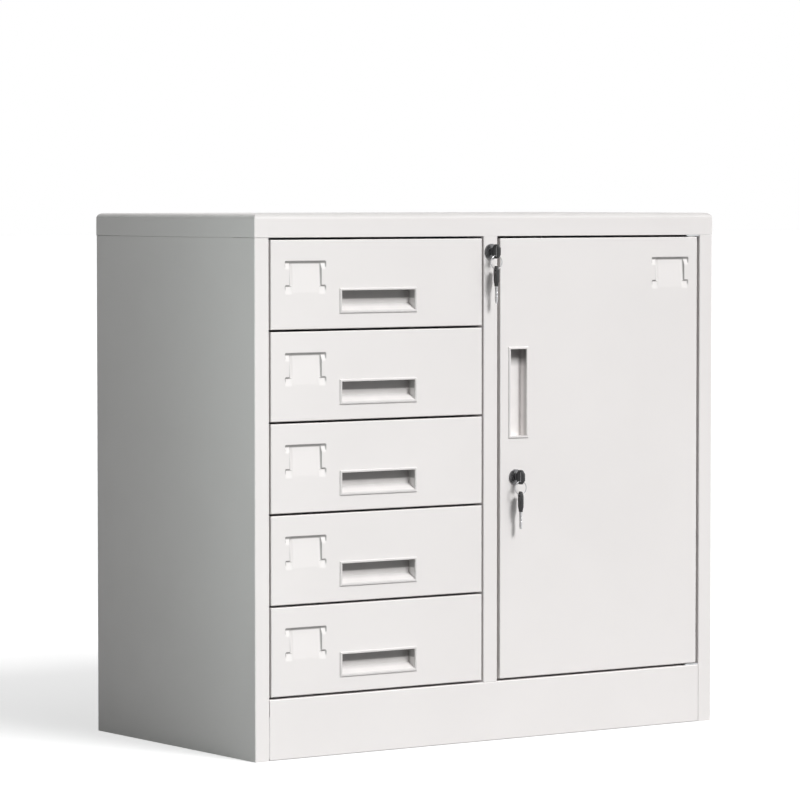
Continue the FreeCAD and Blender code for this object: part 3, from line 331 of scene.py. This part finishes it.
def soften(shape, width):
    """Round every sharp edge."""
    edges = [
        edge
        for edge in shape.edges
        if len(edge.link_faces) == 2 and edge.calc_face_angle() > SHARP_EDGE
    ]
    bmesh.ops.bevel(
        shape,
        geom=edges,
        offset=width,
        segments=2,
        profile=0.5,
        affect="EDGES",
        clamp_overlap=True,
    )


def dress(node, shape):
    """The worked shape in place of its node, with smooth shading weighted by area."""
    mesh = bpy.data.meshes.new(node + "_finished")
    shape.to_mesh(mesh)
    shape.free()
    for face in mesh.polygons:
        face.use_smooth = True
    mesh.materials.clear()
    mesh.materials.append(material_of_node[node])
    piece = bpy.data.objects.new(node + "_finished", mesh)
    bpy.context.scene.collection.objects.link(piece)
    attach(piece, body_of_node[node])
    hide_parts(node)
    weighted = piece.modifiers.new("weighted", "WEIGHTED_NORMAL")
    weighted.keep_sharp = False


# The label holder's pressing in millimetres: a band across its top, a creased body that slopes
# out below, and two scoops at its feet. Profiles are pairs of distance down and depth.
LABEL_HALF = 32.0
LABEL_BODY_HALF = 25.0
LABEL_FOOT = 13.0
LABEL_HEIGHT = 43.0
LABEL_WALL = 1.4
LABEL_FOOT_WALL = 2.0
LABEL_FOOT_FADE = 4.0
LABEL_CREASE_IN = 1.0
LABEL_CREASE_WIDTH = 5.0
BAND_PROFILE = ((0, 0), (3.2, 2.2), (5, 1.5), (11, 0))
BODY_PROFILE = ((0, 0), (3.2, 2.6), (41, 0))
FOOT_PROFILE = ((31, 0), (33.2, 1.7), (35.5, 1.4), (43, 0))
CREASE_PROFILE = ((3, 0), (6, 1.0), (31, 1.0), (36, 0))

# The skin that holds the pressing: its margin, its steps, and the slope past which painted shade
# darkens its walls
LABEL_MARGIN = 2.5
FINE_STEP = 0.35
COARSE_STEP = 1.2
FINE_REACH = 1.6
KINKS_DOWN = (1.6, 32.0)
SLOPE_REACH = 0.2
SHADED_SLOPE = 0.4
CREASE_SHADE_FADE = 0.3


def depth_at(profile, down):
    """The depth that a profile has at a distance down."""
    for (start, low), (end, high) in zip(profile, profile[1:]):
        if start <= down <= end:
            return low + (high - low) * (down - start) / (end - start)
    return 0.0


def flank(distance, width):
    """From 0 on the edge of a pressing to 1 past its side wall."""
    return min(1.0, max(0.0, distance / width))


def pressed(across, down):
    """Depth of the pressing at a point."""
    out = abs(across)
    end = LABEL_HALF - out
    side = LABEL_BODY_HALF - out
    inside_crease = flank(side - LABEL_CREASE_IN, LABEL_CREASE_WIDTH)
    crease = depth_at(CREASE_PROFILE, down) * (1 - inside_crease)
    band = depth_at(BAND_PROFILE, down) * flank(end, LABEL_WALL)
    body = (depth_at(BODY_PROFILE, down) + crease) * flank(side, LABEL_WALL)
    foot = depth_at(FOOT_PROFILE, down) * flank(end, LABEL_FOOT_WALL)
    return max(band, body, foot * flank(LABEL_FOOT - end, LABEL_FOOT_FADE))


def steepness(across, down):
    """The pressing's steepest slope at a point."""
    sideways = pressed(across + SLOPE_REACH, down) - pressed(across - SLOPE_REACH, down)
    along = pressed(across, down + SLOPE_REACH) - pressed(across, down - SLOPE_REACH)
    return math.hypot(sideways, along) / (2 * SLOPE_REACH)


def grid_lines(low, high, kinks):
    """Places from low to high, close together about the kinks and wide apart elsewhere."""
    lines = [low]
    while lines[-1] < high:
        near = min(abs(lines[-1] + FINE_STEP - kink) for kink in kinks)
        step = FINE_STEP if near < FINE_REACH else COARSE_STEP
        lines.append(min(lines[-1] + step, high))
    return lines


def cut_window(shape, low, high):
    """Take the front skin away inside a box, and leave the skin's back as it is."""
    for normal in (Vector((1, 0, 0)), Vector((0, 0, 1))):
        for edge in (low, high):
            whole = shape.verts[:] + shape.edges[:] + shape.faces[:]
            bmesh.ops.bisect_plane(shape, geom=whole, dist=1e-7, plane_co=edge, plane_no=normal)
    chosen = set()
    for face in shape.faces:
        if all(
            low.x - SAME_PLACE <= vert.co.x <= high.x + SAME_PLACE
            and low.z - SAME_PLACE <= vert.co.z <= high.z + SAME_PLACE
            for vert in face.verts
        ):
            chosen.add(face)
    front = {face for face in chosen if all(vert.co.y < low.y + SAME_PLACE for vert in face.verts)}
    reached = set(front)
    while front:
        face = front.pop()
        for edge in face.edges:
            for other in edge.link_faces:
                if other in chosen and other not in reached:
                    reached.add(other)
                    front.add(other)
    bmesh.ops.delete(shape, geom=list(reached), context="FACES")


def add_pressing(shape, centre):
    """Fill the window with a fine skin pressed to the label holder's form."""
    reach = LABEL_HALF + LABEL_MARGIN
    edges = (LABEL_HALF, LABEL_BODY_HALF, LABEL_HALF - LABEL_FOOT)
    across = grid_lines(-reach, reach, [side * edge for edge in edges for side in (-1, 1)])
    down = grid_lines(-LABEL_MARGIN, LABEL_HEIGHT + LABEL_MARGIN, KINKS_DOWN)
    crease_shade = shape.verts.layers.float.new("crease_shade")
    rows = []
    for v in down:
        row = []
        for u in across:
            vert = shape.verts.new(centre + Vector((u, pressed(u, v), -v)) * MM)
            # Painted shade, marked on the steep walls of the pressing
            vert[crease_shade] = flank(steepness(u, v) - SHADED_SLOPE, CREASE_SHADE_FADE)
            row.append(vert)
        rows.append(row)
    for upper, lower in zip(rows, rows[1:]):
        for i in range(len(across) - 1):
            shape.faces.new((lower[i], lower[i + 1], upper[i + 1], upper[i]))


def pressed_front(node, label_x, label_top):
    """A sheet front with softened edges and a finely pressed label holder."""
    centre = at(label_x, 0, label_top)
    half = (LABEL_HALF + LABEL_MARGIN) * MM
    low = Vector((centre.x - half, centre.y, centre.z - (LABEL_HEIGHT + LABEL_MARGIN) * MM))
    high = Vector((centre.x + half, centre.y, centre.z + LABEL_MARGIN * MM))
    shape = bare_copy(node)
    cut_window(shape, low, high)
    soften(shape, FRONT_EDGE * MM)
    add_pressing(shape, centre)
    dress(node, shape)


def round_ring(node):
    """A ring of round wire in place of a node that lies in an upright plane."""
    ring_low, ring_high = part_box(node)
    centre = (ring_low + ring_high) / 2
    wire = RING_WIRE * MM / 2
    radius = (ring_high.x - ring_low.x) / 2 - wire
    turns, sides = 96, 14
    shape = bmesh.new()
    loops = []
    for i in range(turns):
        angle = 2 * math.pi * i / turns
        out = Vector((math.cos(angle), 0, math.sin(angle)))
        loop = []
        for j in range(sides):
            around = 2 * math.pi * j / sides
            offset = out * math.cos(around) * wire + Vector((0, math.sin(around) * wire, 0))
            loop.append(shape.verts.new(centre + out * radius + offset))
        loops.append(loop)
    for i in range(turns):
        near, far = loops[i], loops[(i + 1) % turns]
        for j in range(sides):
            k = (j + 1) % sides
            shape.faces.new((near[j], near[k], far[k], far[j]))
    bmesh.ops.recalc_face_normals(shape, faces=shape.faces)
    dress(node, shape)


LOCK_EDGES = {
    "lock_housing": 0.3,
    "lock_plug": 0.15,
    "key_bow": 0.25,
    "spare_key_bow": 0.25,
    "key_blade": 0.15,
    "spare_key_blade": 0.15,
}
soft_edges = {
    "top_cap": 0.3,
    "left_side_panel": 0.25,
    "right_side_panel": 0.25,
    "plinth": 0.25,
    "centre_post": 0.25,
    "shelf": 0.25,
    "door_pull": 0.35,
}
for part, width in LOCK_EDGES.items():
    for lock in LOCKS:
        soft_edges[f"{lock}_{part}"] = width
for number in DRAWERS:
    soft_edges[f"drawer_{number}_pull"] = 0.35
for node, width in soft_edges.items():
    shape = bare_copy(node)
    soften(shape, width * MM)
    dress(node, shape)

# Each label's middle from the cabinet's left edge, and its top from its drawer's foot or the floor
DRAWER_LABEL = (78.0, 88.0)
DOOR_LABEL = (676.1, 640.2)
for number in DRAWERS:
    node = f"drawer_{number}_front"
    pressed_front(node, DRAWER_LABEL[0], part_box(node)[0].z / MM + DRAWER_LABEL[1])
pressed_front("door_panel", *DOOR_LABEL)

for lock in LOCKS:
    round_ring(f"{lock}_key_ring")


# Floor, light and camera


def plainly_seen(tree):
    """1 for what the camera sees itself, in a reflection or through glass, and 0 for other light."""
    rays = tree.nodes.new("ShaderNodeLightPath")
    seen = rays.outputs["Is Camera Ray"]
    for name in ("Is Glossy Ray", "Is Transmission Ray"):
        either = tree.nodes.new("ShaderNodeMath")
        either.operation = "MAXIMUM"
        tree.links.new(seen, either.inputs[0])
        tree.links.new(rays.outputs[name], either.inputs[1])
        seen = either.outputs[0]
    return seen


def stage_floor(half, seen_tone, cast_tone, glow):
    """A pale floor that looks brighter than the light that it throws back on the cabinet."""
    mesh = bpy.data.meshes.new("floor")
    corners = [(-half, -half, 0), (half, -half, 0), (half, half, 0), (-half, half, 0)]
    mesh.from_pydata(corners, [], [(0, 1, 2, 3)])
    floor = bpy.data.objects.new("floor", mesh)
    bpy.context.scene.collection.objects.link(floor)
    floor.location.z = -0.2 * MM
    made = Material("studio_floor", (0.9, 0.9, 0.9), 0.9)
    seen = plainly_seen(made.tree)
    tone = made.add("ShaderNodeMix", data_type="RGBA")
    made.link(seen, tone.inputs["Factor"])
    tone.inputs[COLOUR_A].default_value = (cast_tone, cast_tone, cast_tone, 1)
    tone.inputs[COLOUR_B].default_value = (seen_tone, seen_tone, seen_tone, 1)
    made.paint(tone.outputs[MIXED_COLOUR])
    made.surface.inputs["Emission Color"].default_value = (1, 1, 1, 1)
    glowing = made.add("ShaderNodeMath", operation="MULTIPLY")
    made.link(seen, glowing.inputs[0])
    glowing.inputs[1].default_value = glow
    made.link(glowing.outputs[0], made.surface.inputs["Emission Strength"])
    mesh.materials.append(made.material)


def studio_world(ambient):
    """White to look at, with that much light from all round."""
    world = bpy.data.worlds.new("studio")
    bpy.context.scene.world = world
    world.use_nodes = True
    tree = world.node_tree
    background = tree.nodes["Background"]
    background.inputs["Color"].default_value = (1, 1, 1, 1)
    strength = tree.nodes.new("ShaderNodeMapRange")
    strength.inputs["To Min"].default_value = ambient
    strength.inputs["To Max"].default_value = 1.0
    tree.links.new(plainly_seen(tree), strength.inputs["Value"])
    tree.links.new(strength.outputs["Result"], background.inputs["Strength"])


def aim(item, direction):
    item.rotation_mode = "QUATERNION"
    item.rotation_quaternion = direction.to_track_quat("-Z", "Y")


def sun(name, toward, strength, spread):
    """Even light from one side, with its spread in degrees."""
    light = bpy.data.lights.new(name, "SUN")
    light.energy = strength
    light.angle = math.radians(spread)
    item = bpy.data.objects.new(name, light)
    bpy.context.scene.collection.objects.link(item)
    item.location = Vector(toward).normalized() * 4
    aim(item, -item.location)


def panel(name, place, target, size, power):
    """A rectangular lamp with a faintly green white."""
    light = bpy.data.lights.new(name, "AREA")
    light.color = (0.9, 1.0, 0.97)
    light.shape = "RECTANGLE"
    light.size, light.size_y = size
    light.energy = power
    item = bpy.data.objects.new(name, light)
    bpy.context.scene.collection.objects.link(item)
    item.location = place
    item.visible_camera = False
    aim(item, Vector(target) - item.location)


def front_camera(place, lens, yaw, pitch):
    """A long lens off the cabinet's left front corner, a little above its top."""
    data = bpy.data.cameras.new("photo_camera")
    data.sensor_width = 36.0
    data.lens = lens
    data.clip_start, data.clip_end = 0.1, 200
    camera = bpy.data.objects.new("photo_camera", data)
    bpy.context.scene.collection.objects.link(camera)
    camera.location = place
    yaw, pitch = math.radians(yaw), math.radians(pitch)
    level = math.cos(pitch)
    aim(camera, Vector((math.sin(yaw) * level, math.cos(yaw) * level, -math.sin(pitch))))
    bpy.context.scene.camera = camera


stage_floor(half=60.0, seen_tone=0.45, cast_tone=0.21, glow=0.62)
studio_world(ambient=0.08)
sun("key", toward=(0.16, -0.73, 0.65), strength=2.70, spread=17)
sun("soft", toward=(0.40, -0.62, 0.85), strength=1.08, spread=60)
panel("side", (-0.745, -0.28, 0.5), (-0.375, -0.28, 0.5), size=(0.1, 1.2), power=0.98)
panel("side_top", (-0.7, 0.15, 1.0), (-0.375, 0.2, 0.65), size=(0.3, 0.3), power=0.13)
front_camera(at(-2874, -4409, 723), lens=186.3, yaw=35.11, pitch=2.821)
bpy.context.scene.view_settings.view_transform = "Standard"
